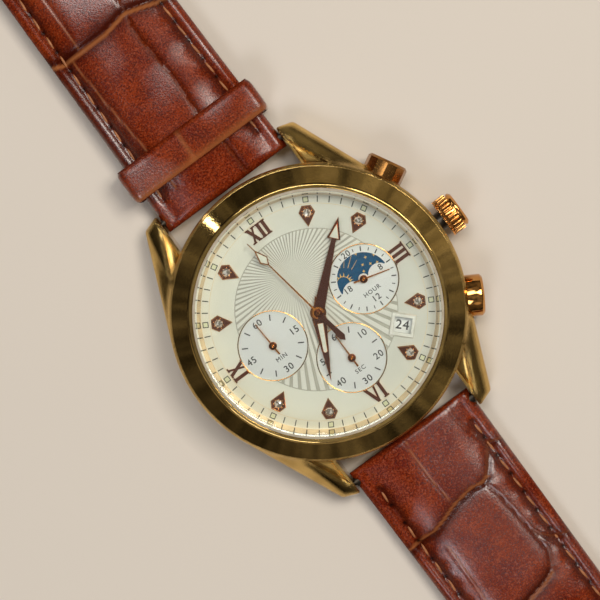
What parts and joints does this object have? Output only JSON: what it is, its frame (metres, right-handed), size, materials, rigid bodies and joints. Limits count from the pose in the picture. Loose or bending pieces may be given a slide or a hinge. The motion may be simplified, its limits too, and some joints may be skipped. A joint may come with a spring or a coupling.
{
  "type": "moon phase watch",
  "caption": "Gold wristwatch with chronograph sub-dials, a sun-and-stars day indicator, date window, crown, pushers and a buckled leather strap.",
  "frame": {"origin": "middle of the case back's flat outer face, on the table", "axes": "+Z out through the crystal, +Y towards 12 o'clock along the strap, +X towards the crown"},
  "size_m": [0.0439, 0.2452, 0.0101],
  "materials": {
    "case_gold": "polished gold-plated steel",
    "rose_gold": "polished rose-gold-plated steel",
    "back_steel": "brushed stainless steel",
    "plain_steel": "turned steel",
    "crystal": "clear mineral glass",
    "gasket_tan": "translucent tan nylon",
    "gasket_black": "black rubber",
    "flange": "satin champagne lacquer",
    "dial": "silvered ivory dial lacquer",
    "brown_plating": "dark chocolate plating",
    "hand_gold": "polished rose gold plate",
    "stone": "cut clear stone",
    "movement_plate": "nickel-plated brass",
    "wheel_brass": "cut brass",
    "ring_plastic": "white moulded plastic",
    "board_green": "green circuit laminate",
    "coil_copper": "enamelled copper wire",
    "stator_iron": "soft iron sheet",
    "battery_steel": "nickel-plated can",
    "disc_blue": "blue lacquer with gold print",
    "date_white": "white lacquer with black print",
    "leather_upper": "glossy embossed brown leather",
    "leather_lining": "matt tan lining leather"
  },
  "bodies": {
    "case": {"mid_case": "case_gold", "bezel": "case_gold", "crystal": "crystal", "crystal_gasket": "gasket_tan", "flange_ring": "flange", "case_back": "back_steel", "case_back_gasket": "gasket_black", "movement_ring": "ring_plastic", "crown_tube": "plain_steel", "pusher_tubes": "plain_steel", "spring_bars": "plain_steel", "dial_plate": "dial", "subdial_rings": "hand_gold", "hour_markers": "brown_plating", "marker_stones": "stone", "roman_numerals": "brown_plating", "date_frame": "dial", "main_plate": "movement_plate", "train_bridge": "movement_plate", "circuit_board": "board_green", "motor_coils": "coil_copper", "motor_stators": "stator_iron", "battery": "battery_steel", "movement_screws": "plain_steel", "start_pusher_spring": "plain_steel", "reset_pusher_spring": "plain_steel"},
    "minute_work": {"centre_wheel": "wheel_brass", "cannon_pinion": "wheel_brass", "minute_hand": "brown_plating"},
    "minute_transfer": {"minute_wheel": "wheel_brass"},
    "hour_work": {"hour_wheel": "wheel_brass", "hour_hand": "brown_plating"},
    "third_work": {"third_wheel": "wheel_brass"},
    "small_seconds_work": {"small_seconds_wheel": "wheel_brass", "small_seconds_hand": "hand_gold"},
    "day_transfer": {"day_intermediate_wheel": "wheel_brass"},
    "day_work": {"day_wheel": "wheel_brass", "sun_star_disc": "disc_blue", "day_hand": "hand_gold", "date_finger": "wheel_brass"},
    "calendar": {"date_ring": "date_white"},
    "chrono_work": {"chrono_arbor": "plain_steel", "chrono_seconds_hand": "hand_gold"},
    "counter_transfer": {"counter_intermediate_wheel": "wheel_brass"},
    "counter_work": {"minute_counter_wheel": "wheel_brass", "minute_counter_hand": "hand_gold"},
    "stem_slide": {"setting_lever": "plain_steel"},
    "crown_work": {"crown_stem": "plain_steel", "crown": "rose_gold"},
    "start_button": {"start_pusher": "rose_gold"},
    "reset_button": {"reset_pusher": "rose_gold"},
    "buckle_side": {"buckle_strap": "leather_upper", "buckle_strap_lining": "leather_lining", "fixed_keeper": "leather_upper"},
    "keeper_band": {"free_keeper": "leather_upper"},
    "hole_side": {"hole_strap": "leather_upper", "hole_strap_lining": "leather_lining"},
    "buckle": {"buckle_frame": "case_gold", "buckle_bar": "plain_steel"},
    "tang": {"buckle_tang": "case_gold"}
  },
  "joints": [
    {"name": "minute_spin", "type": "hinge", "parent": "case", "child": "minute_work", "pos_m": [0, 0, 0.005], "axis": [0, 0, -1], "continuous": true},
    {"name": "minute_transfer_spin", "type": "hinge", "parent": "case", "child": "minute_transfer", "pos_m": [0, 0.004, 0.005], "axis": [0, 0, -1], "continuous": true},
    {"name": "hour_spin", "type": "hinge", "parent": "case", "child": "hour_work", "pos_m": [0, 0, 0.005], "axis": [0, 0, -1], "continuous": true},
    {"name": "third_spin", "type": "hinge", "parent": "case", "child": "third_work", "pos_m": [0.00236, -0.00404, 0.005], "axis": [0, 0, -1], "continuous": true},
    {"name": "small_seconds_spin", "type": "hinge", "parent": "case", "child": "small_seconds_work", "pos_m": [0, -0.0076, 0.005], "axis": [0, 0, -1], "continuous": true},
    {"name": "day_transfer_spin", "type": "hinge", "parent": "case", "child": "day_transfer", "pos_m": [0.00459, -0.00321, 0.005], "axis": [0, 0, -1], "continuous": true},
    {"name": "day_spin", "type": "hinge", "parent": "case", "child": "day_work", "pos_m": [0.0076, 0, 0.005], "axis": [0, 0, -1], "continuous": true},
    {"name": "date_spin", "type": "hinge", "parent": "case", "child": "calendar", "pos_m": [0, 0, 0.005], "axis": [0, 0, -1], "continuous": true},
    {"name": "chrono_spin", "type": "hinge", "parent": "case", "child": "chrono_work", "pos_m": [0, 0, 0.005], "axis": [0, 0, -1], "continuous": true},
    {"name": "counter_transfer_spin", "type": "hinge", "parent": "case", "child": "counter_transfer", "pos_m": [-0.00369, 0.00257, 0.005], "axis": [0, 0, -1], "continuous": true},
    {"name": "counter_spin", "type": "hinge", "parent": "case", "child": "counter_work", "pos_m": [-0.0076, 0, 0.005], "axis": [0, 0, -1], "continuous": true},
    {"name": "stem_pull", "type": "slide", "parent": "case", "child": "stem_slide", "axis": [1, 0, 0], "range_m": [0, 0.0014]},
    {"name": "crown_spin", "type": "hinge", "parent": "stem_slide", "child": "crown_work", "pos_m": [0.022, 0, 0.0041], "axis": [1, 0, 0], "continuous": true},
    {"name": "start_press", "type": "slide", "parent": "case", "child": "start_button", "axis": [-0.8788, -0.4772, 0], "range_m": [0, 0.0008], "stiffness_N_per_m": 1500},
    {"name": "reset_press", "type": "slide", "parent": "case", "child": "reset_button", "axis": [-0.8599, 0.5105, 0], "range_m": [0, 0.0008], "stiffness_N_per_m": 1500},
    {"name": "buckle_side_swing", "type": "hinge", "parent": "case", "child": "buckle_side", "pos_m": [0, 0.02205, 0.0029], "axis": [1, 0, 0], "range_deg": [-70, 50]},
    {"name": "hole_side_swing", "type": "hinge", "parent": "case", "child": "hole_side", "pos_m": [0, -0.02205, 0.0029], "axis": [-1, 0, 0], "range_deg": [-70, 50]},
    {"name": "keeper_slide", "type": "slide", "parent": "buckle_side", "child": "keeper_band", "axis": [0, 1, 0], "range_m": [-0.001, 0.052]},
    {"name": "buckle_swing", "type": "hinge", "parent": "buckle_side", "child": "buckle", "pos_m": [0, 0.09695, 0.0016], "axis": [1, 0, 0], "range_deg": [-45, 30]},
    {"name": "tang_swing", "type": "hinge", "parent": "buckle", "child": "tang", "pos_m": [0, 0.09695, 0.0016], "axis": [1, 0, 0], "range_deg": [0, 75]}
  ],
  "couplings": [
    {"joint": "minute_transfer_spin", "follows": "minute_spin", "ratio": -0.33333},
    {"joint": "hour_spin", "follows": "minute_spin", "ratio": 0.083333},
    {"joint": "third_spin", "follows": "minute_spin", "ratio": -7.5},
    {"joint": "small_seconds_spin", "follows": "minute_spin", "ratio": 60},
    {"joint": "day_transfer_spin", "follows": "minute_spin", "ratio": -0.11111},
    {"joint": "day_spin", "follows": "minute_spin", "ratio": 0.041667},
    {"joint": "date_spin", "follows": "minute_spin", "ratio": 0.0013441},
    {"joint": "counter_transfer_spin", "follows": "chrono_spin", "ratio": -0.125},
    {"joint": "counter_spin", "follows": "chrono_spin", "ratio": 0.016667}
  ]
}
